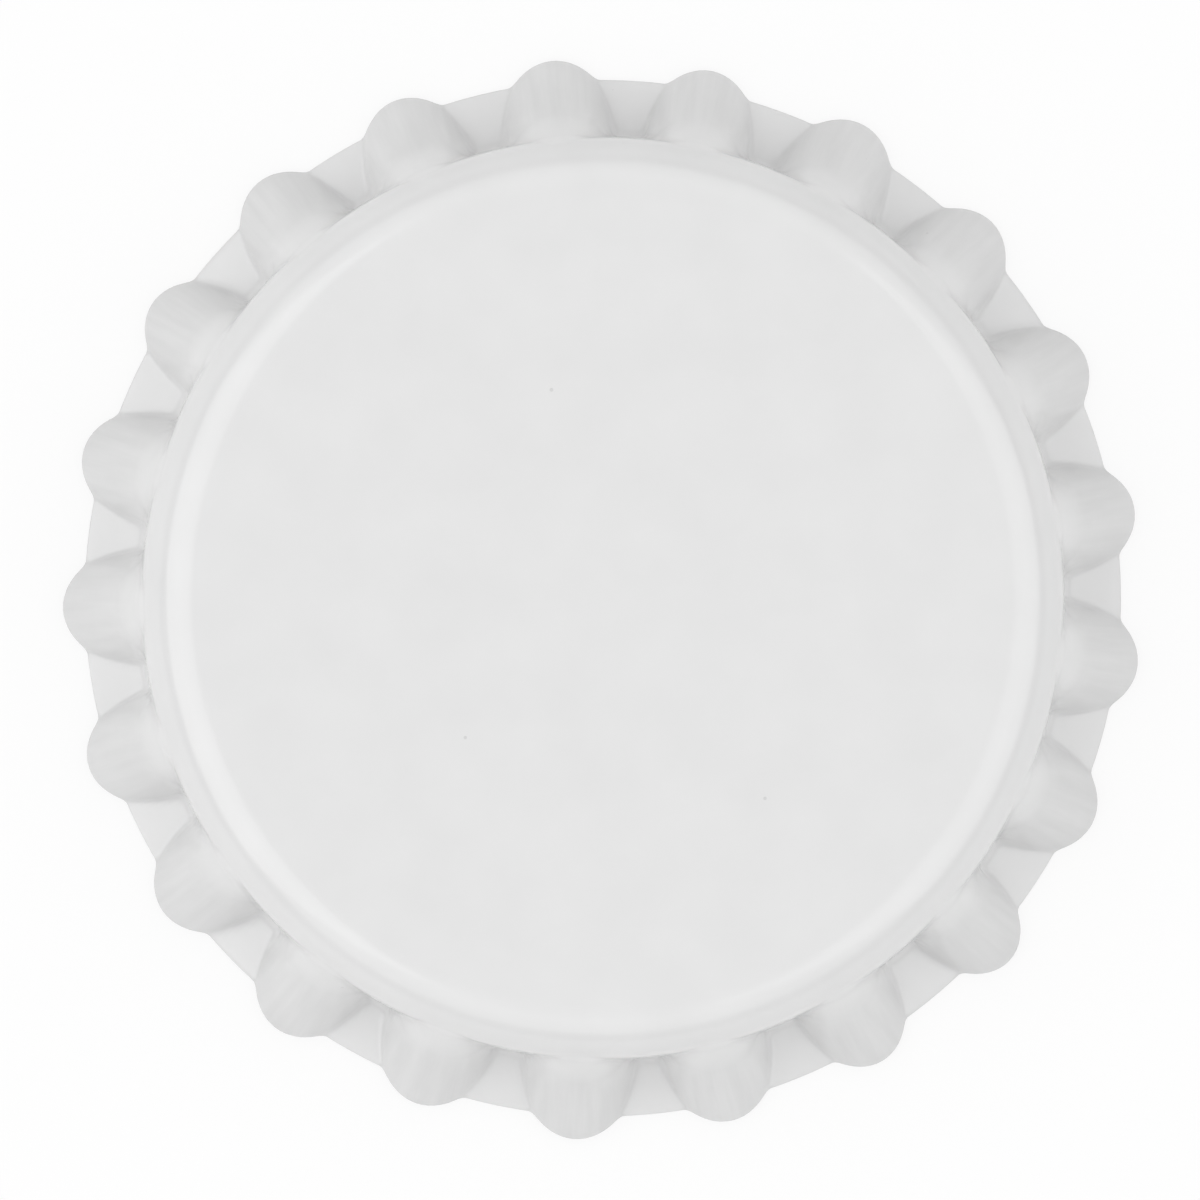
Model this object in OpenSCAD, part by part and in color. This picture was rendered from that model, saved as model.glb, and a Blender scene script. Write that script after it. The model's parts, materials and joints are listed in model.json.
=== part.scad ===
// Bottle cap of the crown kind, as pressed and before it is crimped on: a fluted shell of thin sheet
// steel with a moulded sealing liner inside it. Millimetres, +Z up. The origin is on the axis, in the
// plane that the hem stands on, and the back of one flute points along +X.

/* [Shell] */
// Bore of the wall, which drops over the bottle's lip
bore_d = 26.75; // [20:0.05:34]
// Height from the hem to the top of the panel
height = 6; // [5:0.1:8]
// Thickness of the sheet
sheet = 0.235; // [0.15:0.005:0.35]
// Outer radius of the shoulder between the panel and the wall
shoulder_r = 1.65; // [1.2:0.05:2]

/* [Flutes] */
// Number of flutes round the skirt
flute_count = 21; // [15:1:25]
// How far the backs of the flutes stand out past the wall at the hem
flute_reach = 2.44; // [2.1:0.02:3]
// Radius of a flute's round back
flute_r = 1.75; // [1.5:0.05:1.9]
// How far below the foot of the shoulder the flutes leave the wall
flute_drop = 0.1; // [0.05:0.05:0.5]
// Lean of a flute's back where it leaves the wall, from upright
flute_lean = 12.5; // [8:0.5:16]

/* [Valleys] */
// How far the valleys between the flutes stand out past the wall at the hem
valley_reach = 1.8; // [1.5:0.02:2]
// Slope of the valleys at the hem, from level
valley_slope = 27; // [20:1:35]
// Outer radius of the bend between the wall and the valleys
valley_bend_r = 1; // [0.6:0.05:1.2]
// Angle at which the hem climbs from the valleys to the backs of the flutes
hem_angle = 8; // [0:1:15]

/* [Liner] */
// Gap all round between the liner and the wall
liner_gap = 0.6; // [0.3:0.05:1]
// Thickness of the liner's centre
web_t = 0.3; // [0.2:0.05:0.4]
// Thickness of the sealing land between the two lips
land_t = 0.5; // [0.4:0.05:0.6]
// Width of the sealing land, between the middles of the two lips
land_w = 2.2; // [1.6:0.05:3]
// Width of each lip
lip_w = 0.8; // [0.5:0.05:1]
// Depth of the outer lip below the panel
outer_lip_t = 1.15; // [1:0.05:1.3]
// Depth of the inner lip below the panel
inner_lip_t = 0.9; // [0.8:0.05:1.2]

/* [Hidden] */
$fn = 96;

white = [0.79, 0.79, 0.79];
cream = [0.8, 0.79, 0.74];

bore_r = bore_d / 2;
wall_r = bore_r + sheet;           // outside of the wall
foot_h = height - shoulder_r;      // foot of the shoulder, where the straight wall begins
spare = 1;                         // length left on past the hem, for the trim to cut away
overcut = 0.05;                    // how far the trim runs on past each face of the sheet

// In a valley the sheet runs down its slope to valley_end. It is cut off square there, and stands on
// the lower edge of the cut. Points and unit vectors are in the half section, as [radius, height].
down = [cos(valley_slope), -sin(valley_slope)];
through = [sin(valley_slope), cos(valley_slope)];
valley_end = [wall_r + valley_reach, sheet * through.y];
cut_start = valley_end - (sheet + overcut) * through;
cut_end = valley_end + overcut * through;

// The wall bends out about bend_centre before it runs down the slope.
bend_x = wall_r + valley_bend_r;
slope_l = (valley_end.x - bend_x + valley_bend_r * through.x) / down.x;
bend_centre = valley_end - slope_l * down + valley_bend_r * through;
flare_l = slope_l + 2 * spare;

// A flute's back leaves the wall at flute_top, leaning, and sweeps out in one arc to flute_end, which is
// on the trimmed hem. Its lean grows by twice half_sweep on the way.
flute_top = [wall_r, foot_h - flute_drop];
crest_r = wall_r + flute_reach;
flute_end = [crest_r, cut_end.y + (crest_r - cut_end.x) * tan(hem_angle)];
chord = flute_end - flute_top;
half_sweep = atan(-chord.x / chord.y) - flute_lean;
sweep_r = norm(chord) / (2 * sin(half_sweep));
sweep_centre = flute_top + sweep_r * [cos(flute_lean), sin(flute_lean)];

// The bar starts a little higher, hidden inside the shoulder, and runs on past the hem.
buried = shoulder_r * sin(flute_lean);
bar_start = 180 + flute_lean - asin(buried / sweep_r);
bar_end = 180 + flute_lean + 2 * half_sweep + asin(spare / sweep_r);

// Under the panel, where the liner is moulded on.
ceiling_h = height - sheet;
outer_lip_r = bore_r - liner_gap - lip_w / 2;
inner_lip_r = outer_lip_r - land_w;

// Half section of the cap between the flutes, filled to the axis and set in by part of the sheet.
module section(inset) {
    core_r = wall_r - shoulder_r;
    arc_r = shoulder_r - inset;
    translate([0, -spare]) square([core_r, height - inset + spare]);
    translate([0, -spare]) square([wall_r - inset, foot_h + spare]);
    translate([core_r, foot_h]) intersection() {
        circle(arc_r);
        square(arc_r);
    }
    difference() {
        translate([core_r, -spare]) square([valley_end.x + spare - core_r, bend_centre.y + spare]);
        translate(bend_centre) above_valley(valley_bend_r + inset);
    }
}

// What lies above a bend of radius r, centred here, and above the slope that runs on from it.
module above_valley(r) {
    circle(r);
    rotate(-valley_slope) translate([0, -r]) square([flare_l, r + flare_l]);
}

// One flute on +X, as a solid bar of radius r whose axis follows that of the flute's back.
module flute(r) {
    translate([sweep_centre.x, 0, sweep_centre.y])
        rotate([90, 0, 0])
            rotate(bar_start)
                rotate_extrude(angle = bar_end - bar_start)
                    translate([sweep_r + flute_r, 0]) circle(r);
}

// The whole cap as a solid lump, with its outer surface set in by part of the sheet.
module lump(inset) {
    rotate_extrude() section(inset);
    for (i = [0 : flute_count - 1])
        rotate([0, 0, i * 360 / flute_count]) flute(flute_r - inset);
}

// All that is cut away below the hem: square through the sheet in the valleys, then a shallow cone up
// to the backs of the flutes.
module hem_trim() {
    past_r = max(crest_r, valley_end.x) + 2 * spare;
    past_z = -2 * (flute_r + spare);
    rotate_extrude() polygon([
        [0, cut_start.y],
        cut_start,
        cut_end,
        [past_r, cut_end.y + (past_r - cut_end.x) * tan(hem_angle)],
        [past_r, past_z],
        [0, past_z]
    ]);
}

// Half section of one round-edged lip of the liner, hanging from the panel.
module lip(r, depth) {
    edge_r = lip_w / 2;
    translate([r - edge_r, ceiling_h - depth + edge_r]) square([lip_w, depth - edge_r]);
    translate([r, ceiling_h - depth + edge_r]) circle(edge_r);
}

// The pressed steel: the outside less the inside, trimmed at the hem.
module shell() {
    color(white) difference() {
        lump(0);
        lump(sheet);
        hem_trim();
    }
}

// The sealing liner: a thin disc with two lips, whose rim follows the inside of the shoulder.
module liner() {
    color(cream) rotate_extrude() intersection() {
        section(sheet);
        union() {
            translate([0, ceiling_h - web_t]) square([inner_lip_r, web_t]);
            translate([inner_lip_r, ceiling_h - land_t]) square([land_w, land_t]);
            lip(inner_lip_r, inner_lip_t);
            lip(outer_lip_r, outer_lip_t);
        }
    }
}

shell();
liner();
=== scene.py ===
"""A bottle cap of the crown kind, before crimping, on a white studio table.

It has a pressed and lacquered steel shell, and a moulded sealing liner inside.
"""

import json
import math

import bmesh
import bpy
import numpy as np
from mathutils import Matrix, Vector


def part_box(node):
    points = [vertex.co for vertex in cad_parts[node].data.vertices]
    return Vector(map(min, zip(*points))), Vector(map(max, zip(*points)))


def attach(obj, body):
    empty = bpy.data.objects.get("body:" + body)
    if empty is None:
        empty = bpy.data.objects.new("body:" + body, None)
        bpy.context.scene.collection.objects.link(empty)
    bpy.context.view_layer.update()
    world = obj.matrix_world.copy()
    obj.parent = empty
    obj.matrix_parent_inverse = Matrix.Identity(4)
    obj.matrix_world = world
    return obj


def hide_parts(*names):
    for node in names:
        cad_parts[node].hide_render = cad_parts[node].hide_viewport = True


bl_info = {
    "name": "Bottle Cap",
    "version": (1, 0, 0),
    "blender": (4, 5, 0),
    "location": "3D View > Sidebar > Bottle Cap",
    "description": "Builds a lacquered bottle cap with its sealing liner, on a white table",
    "category": "Add Mesh",
}

MM = 0.001
FULL_TURN = 2 * math.pi

# How far the flutes vary in reach, round and place.
REACH_SPREAD = 0.025 * MM
ROUND_SPREAD = 0.02
TURN_SPREAD = math.radians(0.12)

# Two flutes stand out from the rest, counted from +X: one longer and sharper, one narrower.
SHARP_FLUTE = 18
SHARP_REACH = 0.15 * MM
SHARP_LOSS = 0.12
NARROW_FLUTE = 17
NARROW_LOSS = 0.08

# Share of the flat panel's radius that its innermost face spans.
PANEL_MIDDLE = 0.7

# Share of a blend that is left at the top of the flutes.
FAINTEST_BLEND = 0.3

# Steps that settle a point on the skirt's surface, and the hem on its curve.
MARCH_STEPS = 150
HEM_STEPS = 8

# Radius of the ring, near the hem, that streaks and scratches are laid on: the streaks of painted shade on
# the flutes and the scratches on the cut edge.
MARK_RING = 15 * MM

# The soft boxes stand at one height, at two places round the cap.
BOX_SIZE = (0.66, 0.5)
BOX_REACH = 0.5
BOX_ELEVATION = math.radians(48)
LEFT_BOX_AZIMUTH = math.radians(183)
RIGHT_BOX_AZIMUTH = math.radians(-8)

# How far the camera stands off the axis, and half the table's width.
CAMERA_SHIFT = (-0.083 * MM, -0.054 * MM)
TABLE_REACH = 3

# Share of plain white that the table shows to the camera, and in gloss.
TABLE_GLOW = 0.88
TABLE_SHINE = 0.3

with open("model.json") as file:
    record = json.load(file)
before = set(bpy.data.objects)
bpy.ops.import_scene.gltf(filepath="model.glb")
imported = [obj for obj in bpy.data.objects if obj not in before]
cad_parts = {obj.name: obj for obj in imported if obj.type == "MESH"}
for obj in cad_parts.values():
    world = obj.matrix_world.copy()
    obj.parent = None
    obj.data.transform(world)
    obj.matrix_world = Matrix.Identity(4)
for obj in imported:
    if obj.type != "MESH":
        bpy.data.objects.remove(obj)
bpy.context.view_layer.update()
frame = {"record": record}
SHELL_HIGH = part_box("shell")[1]
LINER_LOW, LINER_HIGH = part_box("liner")
SEAT = next(m for m in frame["record"]["mounts"] if m["name"] == "bottle_seat")


# ---------------------------------------------------------------- settings


def colour_setting(name, description, default):
    """A colour that a user can change."""
    return bpy.props.FloatVectorProperty(
        name=name,
        description=description,
        default=default,
        subtype="COLOR",
        min=0,
        max=1,
    )


class CapShellSettings(bpy.types.PropertyGroup):
    """Sizes and colours of the pressed shell"""

    height: bpy.props.FloatProperty(
        name="Height",
        description="Height from the hem to the top of the panel",
        default=SHELL_HIGH.z,
        unit="LENGTH",
        precision=5,
    )
    bore: bpy.props.FloatProperty(
        name="Bore Radius",
        description="Radius inside the straight wall",
        default=SEAT["dims"]["r_mm"] * MM,
        unit="LENGTH",
        precision=5,
    )
    sheet: bpy.props.FloatProperty(
        name="Sheet",
        description="Thickness of the steel",
        default=0.235 * MM,
        unit="LENGTH",
        precision=6,
    )
    shoulder: bpy.props.FloatProperty(
        name="Shoulder Radius",
        description="Outer radius of the shoulder between the panel and the wall",
        default=1.65 * MM,
        unit="LENGTH",
        precision=5,
    )
    flutes: bpy.props.IntProperty(
        name="Flutes",
        description="Number of flutes round the skirt",
        default=21,
        min=3,
    )
    crest: bpy.props.FloatProperty(
        name="Crest Radius",
        description="Radius over the backs of the flutes at the hem",
        default=SHELL_HIGH.x,
        unit="LENGTH",
        precision=5,
    )
    flute_round: bpy.props.FloatProperty(
        name="Flute Round",
        description="Radius of a flute's round back at the hem",
        default=1.75 * MM,
        unit="LENGTH",
        precision=5,
    )
    narrowing: bpy.props.FloatProperty(
        name="Narrowing",
        description="Share of its round that a flute has lost half way up the skirt and above",
        default=0.18,
        min=0,
        max=0.5,
    )
    wall_lean: bpy.props.FloatProperty(
        name="Wall Lean",
        description="Lean of the wall between the flutes, from upright",
        default=math.radians(1.5),
        subtype="ANGLE",
    )
    flute_lean: bpy.props.FloatProperty(
        name="Flute Lean",
        description="Lean of a flute's back where it leaves the shoulder, from upright",
        default=math.radians(22),
        subtype="ANGLE",
    )
    tuck: bpy.props.FloatProperty(
        name="Tuck",
        description="How far inside the shoulder the flutes run before they come out of it",
        default=0.03 * MM,
        unit="LENGTH",
        precision=5,
    )
    flute_slope: bpy.props.FloatProperty(
        name="Flute Slope",
        description="Slope of a flute's back at the hem, from level",
        default=math.radians(41),
        subtype="ANGLE",
    )
    bell: bpy.props.FloatProperty(
        name="Bell Radius",
        description="Radius in which a flute's back sweeps from its lean to its slope",
        default=6 * MM,
        unit="LENGTH",
        precision=5,
    )
    valley_edge: bpy.props.FloatProperty(
        name="Valley Radius",
        description="Radius to the top edge of the hem in the valleys",
        default=15.41 * MM,
        unit="LENGTH",
        precision=5,
    )
    valley_bend: bpy.props.FloatProperty(
        name="Valley Bend",
        description="Radius of the bend from the wall into a valley",
        default=0.45 * MM,
        unit="LENGTH",
        precision=5,
    )
    valley_slope: bpy.props.FloatProperty(
        name="Valley Slope",
        description="Slope of the valleys below their bend, from level",
        default=math.radians(21),
        subtype="ANGLE",
    )
    hem_slope: bpy.props.FloatProperty(
        name="Hem Slope",
        description="Angle at which the hem climbs from the valleys to the flutes",
        default=math.radians(8),
        subtype="ANGLE",
    )
    crease: bpy.props.FloatProperty(
        name="Crease",
        description="Size of the blends between the flutes and the valleys at the hem",
        default=0.09 * MM,
        unit="LENGTH",
        precision=5,
    )
    saddle: bpy.props.FloatProperty(
        name="Saddle",
        description="Size of the blends where the flutes leave the shoulder and the wall",
        default=0.22 * MM,
        unit="LENGTH",
        precision=5,
    )
    edge_round: bpy.props.FloatProperty(
        name="Edge Round",
        description="Rounding of the cut edge of the sheet",
        default=0.035 * MM,
        unit="LENGTH",
        precision=6,
    )
    unevenness: bpy.props.FloatProperty(
        name="Unevenness",
        description="How much the flutes differ from each other, where 0 is not at all",
        default=1,
        min=0,
    )
    seed: bpy.props.IntProperty(
        name="Seed",
        description="Chooses another set of uneven flutes",
        default=4,
        min=0,
    )
    crowding: bpy.props.FloatProperty(
        name="Crowding",
        description="How far the columns crowd on to the sides of the flutes",
        default=0.4,
        min=0,
        max=0.8,
    )
    columns: bpy.props.IntProperty(
        name="Columns",
        description="Faces round each flute and valley",
        default=36,
        min=8,
    )
    lacquer: colour_setting("Lacquer", "Colour of the lacquer outside", (0.79, 0.79, 0.79))
    varnish: colour_setting("Varnish", "Colour of the varnished inside", (0.64, 0.63, 0.59))
    steel: colour_setting("Steel", "Colour of the cut edge", (0.42, 0.42, 0.42))


class CapLinerSettings(bpy.types.PropertyGroup):
    """Sizes and colour of the moulded liner"""

    web: bpy.props.FloatProperty(
        name="Web",
        description="Thickness of the liner's centre",
        default=0.3 * MM,
        unit="LENGTH",
        precision=5,
    )
    land: bpy.props.FloatProperty(
        name="Land",
        description="Thickness of the sealing land between the lips",
        default=0.5 * MM,
        unit="LENGTH",
        precision=5,
    )
    land_width: bpy.props.FloatProperty(
        name="Land Width",
        description="Width of the land, between the middles of the lips",
        default=2.2 * MM,
        unit="LENGTH",
        precision=5,
    )
    lip_width: bpy.props.FloatProperty(
        name="Lip Width",
        description="Width of each lip",
        default=0.8 * MM,
        unit="LENGTH",
        precision=5,
    )
    inner_lip: bpy.props.FloatProperty(
        name="Inner Lip",
        description="Depth of the inner lip below the panel",
        default=0.9 * MM,
        unit="LENGTH",
        precision=5,
    )
    columns: bpy.props.IntProperty(
        name="Columns",
        description="Faces round the liner",
        default=240,
        min=24,
    )
    compound: colour_setting("Compound", "Colour of the liner", (0.8, 0.79, 0.74))


class CapStageSettings(bpy.types.PropertyGroup):
    """Camera and lights"""

    turn: bpy.props.FloatProperty(
        name="Turn",
        description="How far the cap is seen turned about its axis",
        default=math.radians(9.73),
        subtype="ANGLE",
    )
    camera_height: bpy.props.FloatProperty(
        name="Camera Height",
        description="Height of the camera above the table",
        default=0.7,
        unit="LENGTH",
    )
    view_width: bpy.props.FloatProperty(
        name="View Width",
        description="Width of table that the picture takes in",
        default=35.67 * MM,
        unit="LENGTH",
        precision=5,
    )
    left_box: bpy.props.FloatProperty(
        name="Left Box",
        description="Brightness of the left soft box, where 1 is white",
        default=0.94,
    )
    right_box: bpy.props.FloatProperty(
        name="Right Box",
        description="Brightness of the right soft box, where 1 is white",
        default=0.67,
    )
    overhead: bpy.props.FloatProperty(
        name="Overhead",
        description="Brightness of the room straight above, where 1 is white",
        default=0.11,
    )
    room: bpy.props.FloatProperty(
        name="Room",
        description="Brightness of the room at the height of the soft boxes, where 1 is white",
        default=0.985,
    )
    dim_band: bpy.props.FloatProperty(
        name="Dim Band",
        description="Brightness of the room below the soft boxes, where 1 is white",
        default=0.18,
    )
    horizon: bpy.props.FloatProperty(
        name="Horizon",
        description="Brightness of the room at the level of the table, where 1 is white",
        default=0.75,
    )


# ---------------------------------------------------------------- modelling


def profile_start(x, z):
    """A bmesh that holds the first point of a half section, in the XZ plane."""
    bm = bmesh.new()
    tip = bmesh.ops.create_vert(bm, co=(x, 0, z))["vert"][0]
    return bm, tip


def run_straight(bm, tip, x, z, faces):
    """Carries the section on in a straight line and returns its new end."""
    step = (Vector((x, 0, z)) - tip.co) / faces
    for _ in range(faces):
        tip = bmesh.ops.extrude_vert_indiv(bm, verts=[tip])["verts"][0]
        bmesh.ops.translate(bm, verts=[tip], vec=step)
    return tip


def run_arc(bm, tip, x, z, angle, faces):
    """Carries the section on round a centre and returns its new end. Positive angles turn from +Z to +X."""
    grown = bmesh.ops.spin(
        bm, geom=[tip], cent=(x, 0, z), axis=(0, 1, 0), angle=angle, steps=faces
    )
    return next(g for g in grown["geom_last"] if isinstance(g, bmesh.types.BMVert))


def turn_section(bm, steps):
    """Turns the half section about the Z axis into a closed skin that faces outwards."""
    bmesh.ops.spin(
        bm,
        geom=bm.verts[:] + bm.edges[:],
        cent=(0, 0, 0),
        axis=(0, 0, 1),
        angle=FULL_TURN,
        steps=steps,
        use_merge=True,
    )
    bmesh.ops.remove_doubles(bm, verts=bm.verts[:], dist=1e-7)
    bmesh.ops.recalc_face_normals(bm, faces=bm.faces[:])
    highest = max(bm.faces, key=lambda f: f.calc_center_median().z)
    if highest.normal.z < 0:
        bmesh.ops.reverse_faces(bm, faces=bm.faces[:])


def finished_object(bm, name, materials):
    """Puts a bmesh into a smooth-shaded object at the origin."""
    mesh = bpy.data.meshes.new(name)
    bm.to_mesh(mesh)
    bm.free()
    mesh.polygons.foreach_set("use_smooth", [True] * len(mesh.polygons))
    for material in materials:
        mesh.materials.append(material)
    obj = bpy.data.objects.new(name, mesh)
    bpy.context.scene.collection.objects.link(obj)
    return obj


class Press:
    """The shape that the press gives the outside of the sheet, worked out from the shell's settings."""

    def __init__(self, s):
        self.s = s
        self.wall = s.bore + s.sheet
        self.foot = s.height - s.shoulder
        self.core = self.wall - s.shoulder
        self.pitch = FULL_TURN / s.flutes

        self.edge_z = s.sheet * math.cos(s.valley_slope)
        self.skirt_top = self.foot + s.shoulder * math.sin(s.flute_lean)
        self.bend_r, self.bend_z = self.sweep_centre(
            s.wall_lean, 0, s.valley_edge, self.edge_z, s.valley_bend, s.valley_slope
        )
        self.uneven_flutes()

    def uneven_flutes(self):
        """Gives each flute its own reach, round and place, as a worn press leaves them."""
        s = self.s
        draw = np.random.default_rng(s.seed)
        crest = s.crest + s.unevenness * draw.normal(0, REACH_SPREAD, s.flutes)
        self.round = s.flute_round * (1 + s.unevenness * draw.normal(0, ROUND_SPREAD, s.flutes))
        self.shift = s.unevenness * draw.normal(0, TURN_SPREAD, s.flutes)
        sharp, narrow = SHARP_FLUTE % s.flutes, NARROW_FLUTE % s.flutes
        crest[sharp] = s.crest + s.unevenness * SHARP_REACH
        self.round[sharp] = s.flute_round * (1 - SHARP_LOSS * s.unevenness)
        self.round[narrow] = s.flute_round * (1 - NARROW_LOSS * s.unevenness)
        self.bell_r, self.bell_z = self.sweep_centre(
            s.flute_lean, s.tuck, crest, self.hem_height(crest), s.bell, s.flute_slope
        )

    def sweep_centre(self, lean, tuck, end_r, end_z, bend, slope):
        """Centre of the bend that takes a lean off the shoulder into a slope that ends as given."""
        reach = self.s.shoulder - tuck
        top_r = self.core + reach * math.cos(lean)
        top_z = self.foot + reach * math.sin(lean)
        sweep = math.pi / 2 - lean - slope
        fall = (top_z - end_z) * math.cos(slope) - (end_r - top_r) * math.sin(slope)
        before = fall / math.sin(sweep) - bend * math.tan(sweep / 2)
        return (
            top_r + before * math.sin(lean) + bend * math.cos(lean),
            top_z - before * math.cos(lean) + bend * math.sin(lean),
        )

    def hem_height(self, r):
        """Height of the hem's top edge where the sheet ends at radius r."""
        return self.edge_z + (r - self.s.valley_edge) * math.tan(self.s.hem_slope)

    def swept_distance(self, lean, tuck, r, z, centre_r, centre_z, bend, slope):
        """Distance outside the shoulder, then a lean from it, then a bend about a centre into a slope."""
        from_r, from_z = r - self.core, z - self.foot
        across, up = r - centre_r, z - centre_z
        on_shoulder = np.hypot(from_r, from_z) - self.s.shoulder + tuck
        leaning = bend + across * math.cos(lean) + up * math.sin(lean)
        on_bend = bend - np.hypot(across, up)
        sloping = bend + across * math.sin(slope) + up * math.cos(slope)
        above = from_r * math.sin(lean) < from_z * math.cos(lean)
        still_leaning = across * math.sin(lean) < up * math.cos(lean)
        past_bend = across * math.cos(slope) > up * math.sin(slope)
        return np.select([above, still_leaning, past_bend], [on_shoulder, leaning, sloping], on_bend)

    def climb(self, z):
        """How far up the skirt a height is, from 0 at the hem to 1 half way to the shoulder."""
        share = np.clip(2 * (z - self.edge_z) / (self.foot - self.edge_z), 0, 1)
        return share**2 * (3 - 2 * share)

    def valley_distance(self, r, z):
        """Distance outside the skirt as it would be with no flutes, negative inside."""
        s = self.s
        return self.swept_distance(
            s.wall_lean, 0, r, z, self.bend_r, self.bend_z, s.valley_bend, s.valley_slope
        )

    def flute_distance(self, r, azimuth, z):
        """Distance outside the round bar of the nearest flute, negative inside."""
        s = self.s
        nearest = np.rint(azimuth / self.pitch).astype(int)
        angle = azimuth - nearest * self.pitch
        nearest %= s.flutes
        angle -= self.shift[nearest]
        back = self.swept_distance(
            s.flute_lean,
            s.tuck,
            r * np.cos(angle),
            z,
            self.bell_r[nearest],
            self.bell_z[nearest],
            s.bell,
            s.flute_slope,
        )
        bar = self.round[nearest] * (1 - s.narrowing * self.climb(z))
        return np.hypot(np.maximum(back + bar, 0), r * np.sin(angle)) - bar

    def distance(self, r, azimuth, z):
        """Distance outside the skirt, with its flutes blended in. The blends fade out up the shoulder."""
        plain = self.valley_distance(r, z)
        flute = self.flute_distance(r, azimuth, z)
        blend = self.s.crease + (self.s.saddle - self.s.crease) * self.climb(z)
        blend = blend * np.clip((self.skirt_top - z) / (self.skirt_top - self.foot), FAINTEST_BLEND, 1)
        near = np.clip(blend - np.abs(plain - flute), 0, None) / blend
        return np.minimum(plain, flute) - near**2 * blend / 4

    def radius(self, azimuth, z):
        """Radius of the skirt's outside at an azimuth and a height."""
        r = np.full_like(z, self.s.crest + MM)
        for _ in range(MARCH_STEPS):
            r = r - self.distance(r, azimuth, z)
        return r

    def hem(self, azimuth):
        """Height at which the sheet ends at an azimuth."""
        z = np.full_like(azimuth, self.edge_z)
        for _ in range(HEM_STEPS):
            z = self.hem_height(self.radius(azimuth, z))
        return z


def press_flutes(bm, press):
    """Moves the turned skin's points out on to the flutes and draws the hem along its curve."""
    co = np.array([v.co for v in bm.verts])
    r = np.hypot(co[:, 0], co[:, 1])
    z = co[:, 2]
    azimuth = np.arctan2(co[:, 1], co[:, 0])
    sides = 2 * FULL_TURN / press.pitch
    azimuth += press.s.crowding / sides * np.sin(sides * azimuth)
    top = press.skirt_top
    skirt = (z < top) & (r > press.core)
    share = (top - z[skirt]) / (top - press.edge_z)
    z[skirt] = top - share * (top - press.hem(azimuth[skirt]))
    r[skirt] = press.radius(azimuth[skirt], z[skirt])
    for v, radius, turn, height in zip(bm.verts, r, azimuth, z):
        v.co = (radius * math.cos(turn), radius * math.sin(turn), height)


def build_shell(s):
    """The pressed shell: half section, turned, fluted, then given the sheet's thickness."""
    press = Press(s)
    bm, tip = profile_start(0, s.height)
    tip = run_straight(bm, tip, press.core * PANEL_MIDDLE, s.height, 1)
    tip = run_straight(bm, tip, press.core, s.height, 2)
    tip = run_arc(bm, tip, press.core, press.foot, math.pi / 2 - s.flute_lean, 9)
    tip = run_arc(bm, tip, press.core, press.foot, s.flute_lean - s.wall_lean, 6)
    wall_end = (
        press.bend_r - s.valley_bend * math.cos(s.wall_lean),
        press.bend_z - s.valley_bend * math.sin(s.wall_lean),
    )
    tip = run_straight(bm, tip, *wall_end, 24)
    bend_angle = s.wall_lean + s.valley_slope - math.pi / 2
    tip = run_arc(bm, tip, press.bend_r, press.bend_z, bend_angle, 6)
    run_straight(bm, tip, s.valley_edge, press.edge_z, 9)
    turn_section(bm, s.flutes * s.columns)
    press_flutes(bm, press)
    shell = finished_object(
        bm, "pressed_shell", [white_lacquer(s.lacquer), clear_varnish(s.varnish), cut_steel(s.steel)]
    )
    wall = shell.modifiers.new("sheet", "SOLIDIFY")
    wall.thickness = s.sheet
    wall.offset = -1
    wall.use_even_offset = True
    wall.use_quality_normals = True
    wall.material_offset = 1
    wall.material_offset_rim = 2
    edge = shell.modifiers.new("cut_edge", "BEVEL")
    edge.width = s.edge_round
    edge.segments = 2
    edge.limit_method = "ANGLE"
    edge.angle_limit = math.radians(50)
    return shell


def build_liner(s, shell):
    """The liner: a thin disc with two round lips, whose rim lies in the shoulder."""
    press = Press(shell)
    ceiling = LINER_HIGH.z
    rim = LINER_HIGH.x
    floor_z = LINER_LOW.z
    half = s.lip_width / 2
    outer = rim - half
    inner = outer - s.land_width
    fillet = shell.shoulder - shell.sheet
    bm, tip = profile_start(0, ceiling)
    tip = run_straight(bm, tip, press.core, ceiling, 4)
    sweep = math.asin((rim - press.core) / fillet)
    tip = run_arc(bm, tip, press.core, press.foot, sweep, 8)
    tip = run_straight(bm, tip, rim, floor_z + half, 2)
    tip = run_arc(bm, tip, outer, floor_z + half, math.pi, 12)
    tip = run_straight(bm, tip, outer - half, ceiling - s.land, 1)
    tip = run_straight(bm, tip, inner + half, ceiling - s.land, 3)
    tip = run_straight(bm, tip, inner + half, ceiling - s.inner_lip + half, 1)
    tip = run_arc(bm, tip, inner, ceiling - s.inner_lip + half, math.pi, 12)
    tip = run_straight(bm, tip, inner - half, ceiling - s.web, 1)
    run_straight(bm, tip, 0, ceiling - s.web, 6)
    turn_section(bm, s.columns)
    return finished_object(bm, "sealing_liner", [liner_compound(s.compound)])


# ---------------------------------------------------------------- finishes


def shader_group(name, inputs, outputs):
    """An empty node group with value or vector sockets, and its two ends."""
    tree = bpy.data.node_groups.new(name, "ShaderNodeTree")
    for socket, default in inputs:
        kind = "NodeSocketVector" if default is None else "NodeSocketFloat"
        made = tree.interface.new_socket(socket, in_out="INPUT", socket_type=kind)
        if default is not None:
            made.default_value = default
    for socket in outputs:
        tree.interface.new_socket(socket, in_out="OUTPUT", socket_type="NodeSocketFloat")
    return tree, tree.nodes.new("NodeGroupInput"), tree.nodes.new("NodeGroupOutput")


def maths(tree, operation, *values):
    """A math node whose inputs are numbers or sockets; returns its output."""
    node = tree.nodes.new("ShaderNodeMath")
    node.operation = operation
    for socket, value in zip(node.inputs, values):
        if isinstance(value, bpy.types.NodeSocket):
            tree.links.new(value, socket)
        else:
            socket.default_value = value
    return node.outputs["Value"]


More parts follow.
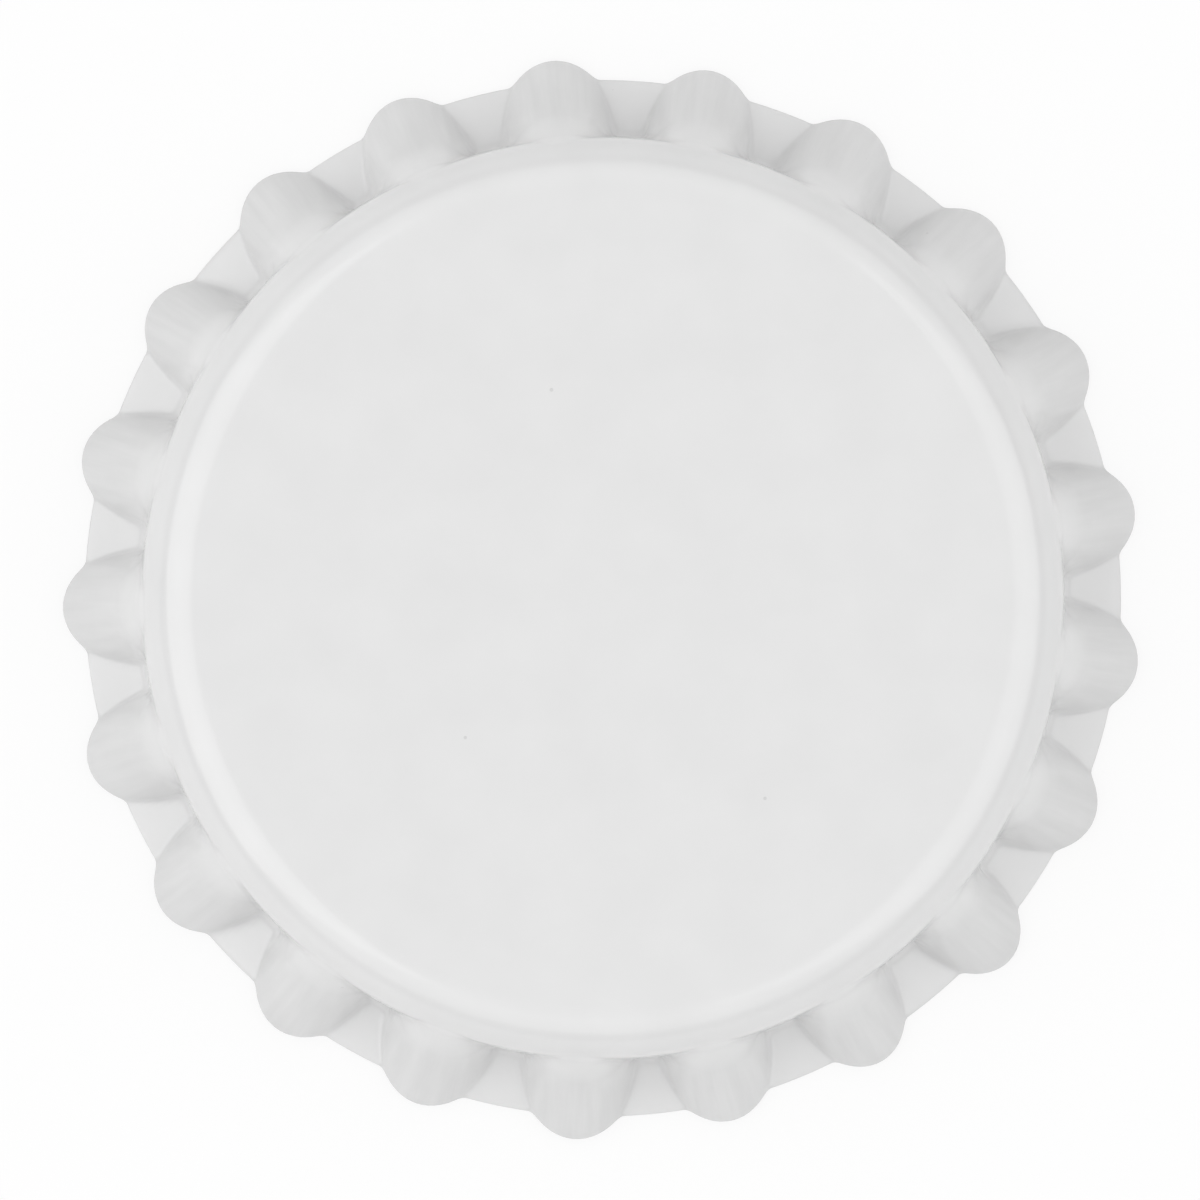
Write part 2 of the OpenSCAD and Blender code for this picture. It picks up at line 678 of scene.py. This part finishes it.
def polar_group():
    """Distance from the cap's axis and a vector once round it, for marks that follow the cap's turn."""
    tree, start, end = shader_group("about_the_axis", [("Vector", None)], ["Radius", "X", "Y"])
    split = tree.nodes.new("ShaderNodeSeparateXYZ")
    tree.links.new(start.outputs["Vector"], split.inputs["Vector"])
    x, y = split.outputs["X"], split.outputs["Y"]
    squares = maths(tree, "ADD", maths(tree, "MULTIPLY", x, x), maths(tree, "MULTIPLY", y, y))
    radius = maths(tree, "SQRT", squares)
    tree.links.new(radius, end.inputs["Radius"])
    tree.links.new(maths(tree, "DIVIDE", x, radius), end.inputs["X"])
    tree.links.new(maths(tree, "DIVIDE", y, radius), end.inputs["Y"])
    return tree


def mottle_group():
    """Soft patches between a low and a high value, of a size given in metres."""
    inputs = [("Vector", None), ("Size", 0.002), ("Detail", 2.0), ("Low", 0.0), ("High", 1.0)]
    tree, start, end = shader_group("mottle", inputs, ["Value"])
    noise = tree.nodes.new("ShaderNodeTexNoise")
    tree.links.new(start.outputs["Vector"], noise.inputs["Vector"])
    tree.links.new(maths(tree, "DIVIDE", 1.0, start.outputs["Size"]), noise.inputs["Scale"])
    tree.links.new(start.outputs["Detail"], noise.inputs["Detail"])
    spread = tree.nodes.new("ShaderNodeMapRange")
    spread.inputs["From Min"].default_value = 0.3
    spread.inputs["From Max"].default_value = 0.7
    tree.links.new(noise.outputs["Fac"], spread.inputs["Value"])
    tree.links.new(start.outputs["Low"], spread.inputs["To Min"])
    tree.links.new(start.outputs["High"], spread.inputs["To Max"])
    tree.links.new(spread.outputs["Result"], end.inputs["Value"])
    return tree


def specks_group():
    """A mask of small round specks, scattered one to a few cells of a size given in metres."""
    inputs = [("Vector", None), ("Spacing", 0.003), ("Speck", 0.0001), ("Share", 0.3)]
    tree, start, end = shader_group("specks", inputs, ["Mask"])
    cells = tree.nodes.new("ShaderNodeTexVoronoi")
    tree.links.new(start.outputs["Vector"], cells.inputs["Vector"])
    tree.links.new(maths(tree, "DIVIDE", 1.0, start.outputs["Spacing"]), cells.inputs["Scale"])
    across = maths(tree, "MULTIPLY", cells.outputs["Distance"], start.outputs["Spacing"])
    draw = tree.nodes.new("ShaderNodeSeparateColor")
    tree.links.new(cells.outputs["Color"], draw.inputs["Color"])
    size = maths(tree, "MULTIPLY", draw.outputs["Green"], start.outputs["Speck"])
    near = maths(tree, "LESS_THAN", across, size)
    chosen = maths(tree, "LESS_THAN", draw.outputs["Red"], start.outputs["Share"])
    tree.links.new(maths(tree, "MULTIPLY", near, chosen), end.inputs["Mask"])
    return tree


def shared_group(name, build):
    """The node group of a name, built the first time that it is asked for."""
    return bpy.data.node_groups.get(name) or build()


class Finish:
    """A material on the object's own coordinates, with the shared effects at hand."""

    def __init__(self, name, colour, roughness, metallic=0.0):
        self.material = bpy.data.materials.new(name)
        self.material.use_nodes = True
        self.tree = self.material.node_tree
        self.shader = self.tree.nodes["Principled BSDF"]
        self.shader.inputs["Base Color"].default_value = (*colour, 1)
        self.shader.inputs["Roughness"].default_value = roughness
        self.shader.inputs["Metallic"].default_value = metallic
        place = self.tree.nodes.new("ShaderNodeTexCoord")
        self.object_place = place.outputs["Object"]

    def group(self, name, build, **values):
        node = self.tree.nodes.new("ShaderNodeGroup")
        node.node_tree = shared_group(name, build)
        values.setdefault("Vector", self.object_place)
        for socket, value in values.items():
            if isinstance(value, bpy.types.NodeSocket):
                self.tree.links.new(value, node.inputs[socket])
            else:
                node.inputs[socket].default_value = value
        return node.outputs

    def around(self, along=0.0):
        """Radius from the axis, and a vector on a ring that marks can follow, set apart along Z."""
        polar = self.group("about_the_axis", polar_group)
        ring = [self.maths("MULTIPLY", polar[axis], MARK_RING) for axis in "XY"]
        spread = self.maths("MULTIPLY", polar["Radius"], along)
        return polar["Radius"], self.joined(*ring, spread)

    def mottle(self, **values):
        return self.group("mottle", mottle_group, **values)["Value"]

    def specks(self, **values):
        return self.group("specks", specks_group, **values)["Mask"]

    def stretched(self, x, y, z):
        """The object's coordinates scaled along each axis, for a grain that runs one way."""
        node = self.tree.nodes.new("ShaderNodeMapping")
        node.inputs["Scale"].default_value = (x, y, z)
        self.tree.links.new(self.object_place, node.inputs["Vector"])
        return node.outputs["Vector"]

    def joined(self, x, y, z=0.0):
        """A vector of three numbers or sockets."""
        node = self.tree.nodes.new("ShaderNodeCombineXYZ")
        for socket, value in zip(node.inputs, (x, y, z)):
            if isinstance(value, bpy.types.NodeSocket):
                self.tree.links.new(value, socket)
            else:
                socket.default_value = value
        return node.outputs["Vector"]

    def maths(self, operation, *values):
        return maths(self.tree, operation, *values)

    def ramp(self, value, low, high):
        """0 below low, 1 above high, smooth between."""
        node = self.tree.nodes.new("ShaderNodeMapRange")
        node.interpolation_type = "SMOOTHSTEP"
        node.inputs["From Min"].default_value = low
        node.inputs["From Max"].default_value = high
        self.tree.links.new(value, node.inputs["Value"])
        return node.outputs["Result"]

    def steepness(self, low, high):
        """1 on faces whose normal climbs less than low, 0 on those where it climbs more than high."""
        face = self.tree.nodes.new("ShaderNodeNewGeometry")
        split = self.tree.nodes.new("ShaderNodeSeparateXYZ")
        self.tree.links.new(face.outputs["Normal"], split.inputs["Vector"])
        return self.maths("SUBTRACT", 1.0, self.ramp(split.outputs["Z"], low, high))

    def shade_by(self, value):
        """Multiplies the base colour's brightness."""
        node = self.tree.nodes.new("ShaderNodeHueSaturation")
        node.inputs["Color"].default_value = self.shader.inputs["Base Color"].default_value
        self.tree.links.new(value, node.inputs["Value"])
        self.tree.links.new(node.outputs["Color"], self.shader.inputs["Base Color"])

    def rough_by(self, value):
        self.tree.links.new(value, self.shader.inputs["Roughness"])

    def raise_by(self, height, depth):
        """Lifts the surface by a height from 0 to 1, as deep as given in metres."""
        node = self.tree.nodes.new("ShaderNodeBump")
        node.inputs["Distance"].default_value = depth
        self.tree.links.new(height, node.inputs["Height"])
        self.tree.links.new(node.outputs["Normal"], self.shader.inputs["Normal"])


def white_lacquer(colour):
    """Stoved white lacquer: faint mottle and orange peel, a few specks, and painted shade on the steep
    faces of the flutes, darker in streaks where the lacquer is also rougher and raised.
    """
    finish = Finish("white_lacquer", colour, 0.12)
    radius, ring = finish.around(along=0.15)
    # Steep faces of the flutes past the wall get painted shade in their colour: darker all over, and darker
    # still in streaks.
    past_wall = finish.ramp(radius, 13.9 * MM, 14.6 * MM)
    flutes = finish.maths("MULTIPLY", past_wall, finish.steepness(0.72, 0.9))
    streak = finish.mottle(Vector=ring, Size=0.3 * MM, Detail=2.0)
    streaks_and_shade = finish.maths("MULTIPLY", streak, flutes)

    patches = finish.mottle(Size=1.9 * MM, Detail=5.0, Low=0.987, High=1.013)
    # Painted shade: 3% darker on every steep flute face, and 5% more in the streaks.
    flute_shade = finish.maths("MULTIPLY", flutes, 0.03)
    streak_shade = finish.maths("MULTIPLY", streaks_and_shade, 0.05)
    painted_shade = finish.maths("ADD", flute_shade, streak_shade)
    # The specks are small dark spots. They are added on top of the painted shade.
    specks = finish.specks(Spacing=1.6 * MM, Speck=0.06 * MM, Share=0.8)
    specks_and_shade = finish.maths("ADD", painted_shade, finish.maths("MULTIPLY", specks, 0.14))
    finish.shade_by(finish.maths("SUBTRACT", patches, specks_and_shade))

    gloss = finish.mottle(Size=1.1 * MM, Detail=3.0, Low=0.1, High=0.15)
    finish.rough_by(finish.maths("ADD", gloss, finish.maths("MULTIPLY", streaks_and_shade, 0.12)))

    peel = finish.mottle(Size=0.55 * MM, Detail=2.0)
    finish.raise_by(finish.maths("ADD", peel, finish.maths("MULTIPLY", streaks_and_shade, 2.5)), 0.0012 * MM)
    return finish.material


def clear_varnish(colour):
    """Tinplate under a clear warm varnish, with the grain of the rolled strip along X."""
    finish = Finish("clear_varnish", colour, 0.3, metallic=1.0)
    grain = finish.mottle(Vector=finish.stretched(0.04, 1, 1), Size=0.09 * MM, Detail=4.0)
    cloud = finish.mottle(Size=3 * MM, Detail=3.0, Low=0.93, High=1.03)
    finish.shade_by(finish.maths("SUBTRACT", cloud, finish.maths("MULTIPLY", grain, 0.2)))
    finish.rough_by(finish.maths("ADD", 0.2, finish.maths("MULTIPLY", grain, 0.16)))
    finish.raise_by(grain, 0.0015 * MM)
    finish.shader.inputs["Coat Weight"].default_value = 0.5
    finish.shader.inputs["Coat Roughness"].default_value = 0.12
    return finish.material


def cut_steel(colour):
    """The cut edge of the sheet: bare steel, burnished by the shear and dulled in patches."""
    finish = Finish("cut_steel", colour, 0.38, metallic=1.0)
    _, ring = finish.around(along=0.15)
    scratch = finish.mottle(Vector=ring, Size=0.06 * MM, Detail=3.0)
    dull = finish.mottle(Size=0.9 * MM, Detail=3.0, Low=0.75, High=1.05)
    finish.shade_by(finish.maths("SUBTRACT", dull, finish.maths("MULTIPLY", scratch, 0.12)))
    finish.rough_by(finish.maths("ADD", 0.3, finish.maths("MULTIPLY", scratch, 0.18)))
    finish.raise_by(scratch, 0.002 * MM)
    return finish.material


def liner_compound(colour):
    """Moulded sealing compound: satin, slightly cloudy, with fine rings left by the punch."""
    finish = Finish("liner_compound", colour, 0.42)
    radius, _ = finish.around()
    rings = finish.mottle(Vector=finish.joined(radius, 0.0), Size=0.16 * MM, Detail=2.0)
    cloud = finish.mottle(Size=2.2 * MM, Detail=4.0, Low=0.96, High=1.02)
    specks = finish.specks(Spacing=1.9 * MM, Speck=0.06 * MM, Share=0.3)
    finish.shade_by(finish.maths("SUBTRACT", cloud, finish.maths("MULTIPLY", specks, 0.15)))
    finish.rough_by(finish.mottle(Size=0.8 * MM, Detail=3.0, Low=0.36, High=0.5))
    skin = finish.mottle(Size=0.3 * MM, Detail=3.0)
    finish.raise_by(finish.maths("ADD", skin, rings), 0.003 * MM)
    return finish.material


# ---------------------------------------------------------------- stage


def build_stage(s):
    """Camera straight above, two soft boxes, the room and the table."""
    turn = Matrix.Rotation(-s.turn, 4, "Z")
    camera = bpy.data.cameras.new("camera")
    camera.sensor_width = 36
    camera.lens = camera.sensor_width * s.camera_height / s.view_width
    camera.clip_start = 0.01
    view = bpy.data.objects.new("camera", camera)
    offset = Vector((*CAMERA_SHIFT, s.camera_height))
    view.matrix_world = turn @ Matrix.Translation(offset)
    bpy.context.scene.collection.objects.link(view)
    bpy.context.scene.camera = view

    add_soft_box("left_box", turn, LEFT_BOX_AZIMUTH, s.left_box)
    add_soft_box("right_box", turn, RIGHT_BOX_AZIMUTH, s.right_box)
    bpy.context.scene.world = room(s)
    bpy.context.scene.view_settings.view_transform = "Standard"

    bm = bmesh.new()
    bmesh.ops.create_grid(bm, x_segments=1, y_segments=1, size=TABLE_REACH)
    floor = finished_object(bm, "table", [table_white()])


def add_soft_box(name, turn, azimuth, strength):
    """A soft box that faces the cap, as bright as given, where 1 is white."""
    lamp = bpy.data.lights.new(name, "AREA")
    lamp.shape = "RECTANGLE"
    lamp.size, lamp.size_y = BOX_SIZE
    lamp.energy = strength * math.pi * lamp.size * lamp.size_y
    box = bpy.data.objects.new(name, lamp)
    place = Vector((math.cos(BOX_ELEVATION), 0, math.sin(BOX_ELEVATION))) * BOX_REACH
    aim = place.to_track_quat("Z", "Y").to_matrix().to_4x4()
    swing = Matrix.Rotation(azimuth, 4, "Z")
    box.matrix_world = turn @ swing @ Matrix.Translation(place) @ aim
    bpy.context.scene.collection.objects.link(box)


def room(s):
    """A plain room with a dim band above the horizon. The stops are degrees above the table."""
    world = bpy.data.worlds.new("room")
    world.use_nodes = True
    nodes, links = world.node_tree.nodes, world.node_tree.links
    place = nodes.new("ShaderNodeTexCoord")
    split = nodes.new("ShaderNodeSeparateXYZ")
    climb = nodes.new("ShaderNodeValToRGB")
    stops = ((3, s.horizon), (7, s.dim_band), (19, s.dim_band), (26, s.room), (50, s.room))
    for elevation, strength in stops:
        stop = climb.color_ramp.elements.new(math.sin(math.radians(elevation)))
        stop.color = (strength, strength, strength, 1)
    climb.color_ramp.elements[0].color = (s.horizon, s.horizon, s.horizon, 1)
    climb.color_ramp.elements[-1].color = (s.overhead, s.overhead, s.overhead, 1)
    links.new(place.outputs["Generated"], split.inputs["Vector"])
    links.new(split.outputs["Z"], climb.inputs["Fac"])
    links.new(climb.outputs["Color"], nodes["Background"].inputs["Color"])
    return world


def table_white():
    """White board that shows plain white to the camera and in gloss, under the cap's own shadow."""
    finish = Finish("table_white", (0.9, 0.9, 0.9), 0.9)
    finish.shade_by(finish.mottle(Size=6 * MM, Detail=5.0, Low=0.99, High=1.01))
    tree = finish.tree
    path = tree.nodes.new("ShaderNodeLightPath")
    seen = finish.maths("MAXIMUM", path.outputs["Is Camera Ray"], path.outputs["Is Transmission Ray"])
    seen = finish.maths("MULTIPLY", seen, TABLE_GLOW)
    in_gloss = finish.maths("MULTIPLY", path.outputs["Is Glossy Ray"], TABLE_SHINE)
    glow = tree.nodes.new("ShaderNodeEmission")
    mix = tree.nodes.new("ShaderNodeMixShader")
    tree.links.new(finish.maths("MAXIMUM", seen, in_gloss), mix.inputs["Fac"])
    tree.links.new(finish.shader.outputs["BSDF"], mix.inputs[1])
    tree.links.new(glow.outputs["Emission"], mix.inputs[2])
    tree.links.new(mix.outputs["Shader"], tree.nodes["Material Output"].inputs["Surface"])
    return finish.material


# ---------------------------------------------------------------- operators


class CAP_OT_build_shell(bpy.types.Operator):
    """Build the pressed and lacquered shell"""

    bl_idname = "cap.build_shell"
    bl_label = "Build Shell"

    def execute(self, context):
        shell = build_shell(context.scene.cap_shell)
        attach(shell, "root")
        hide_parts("shell")
        return {"FINISHED"}


class CAP_OT_build_liner(bpy.types.Operator):
    """Build the moulded sealing liner"""

    bl_idname = "cap.build_liner"
    bl_label = "Build Liner"

    def execute(self, context):
        liner = build_liner(context.scene.cap_liner, context.scene.cap_shell)
        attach(liner, "root")
        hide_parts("liner")
        return {"FINISHED"}


class CAP_OT_build_stage(bpy.types.Operator):
    """Build the table, the lamps and the camera"""

    bl_idname = "cap.build_stage"
    bl_label = "Build Stage"

    def execute(self, context):
        build_stage(context.scene.cap_stage)
        return {"FINISHED"}


class CAP_PT_sidebar(bpy.types.Panel):
    """Lists the cap's sizes and the steps that build it"""

    bl_idname = "CAP_PT_sidebar"
    bl_label = "Bottle Cap"
    bl_space_type = "VIEW_3D"
    bl_region_type = "UI"
    bl_category = "Bottle Cap"

    def draw(self, context):
        groups = (
            (context.scene.cap_shell, "cap.build_shell"),
            (context.scene.cap_liner, "cap.build_liner"),
            (context.scene.cap_stage, "cap.build_stage"),
        )
        for settings, operator in groups:
            box = self.layout.box()
            for name in settings.__annotations__:
                box.prop(settings, name)
            box.operator(operator)


CLASSES = (
    CapShellSettings,
    CapLinerSettings,
    CapStageSettings,
    CAP_OT_build_shell,
    CAP_OT_build_liner,
    CAP_OT_build_stage,
    CAP_PT_sidebar,
)


def register():
    for cls in CLASSES:
        bpy.utils.register_class(cls)
    bpy.types.Scene.cap_shell = bpy.props.PointerProperty(type=CapShellSettings)
    bpy.types.Scene.cap_liner = bpy.props.PointerProperty(type=CapLinerSettings)
    bpy.types.Scene.cap_stage = bpy.props.PointerProperty(type=CapStageSettings)


def unregister():
    del bpy.types.Scene.cap_stage
    del bpy.types.Scene.cap_liner
    del bpy.types.Scene.cap_shell
    for cls in reversed(CLASSES):
        bpy.utils.unregister_class(cls)


def main():
    register()
    bpy.ops.cap.build_stage()
    bpy.ops.cap.build_shell()
    bpy.ops.cap.build_liner()


if __name__ == "__main__":
    main()
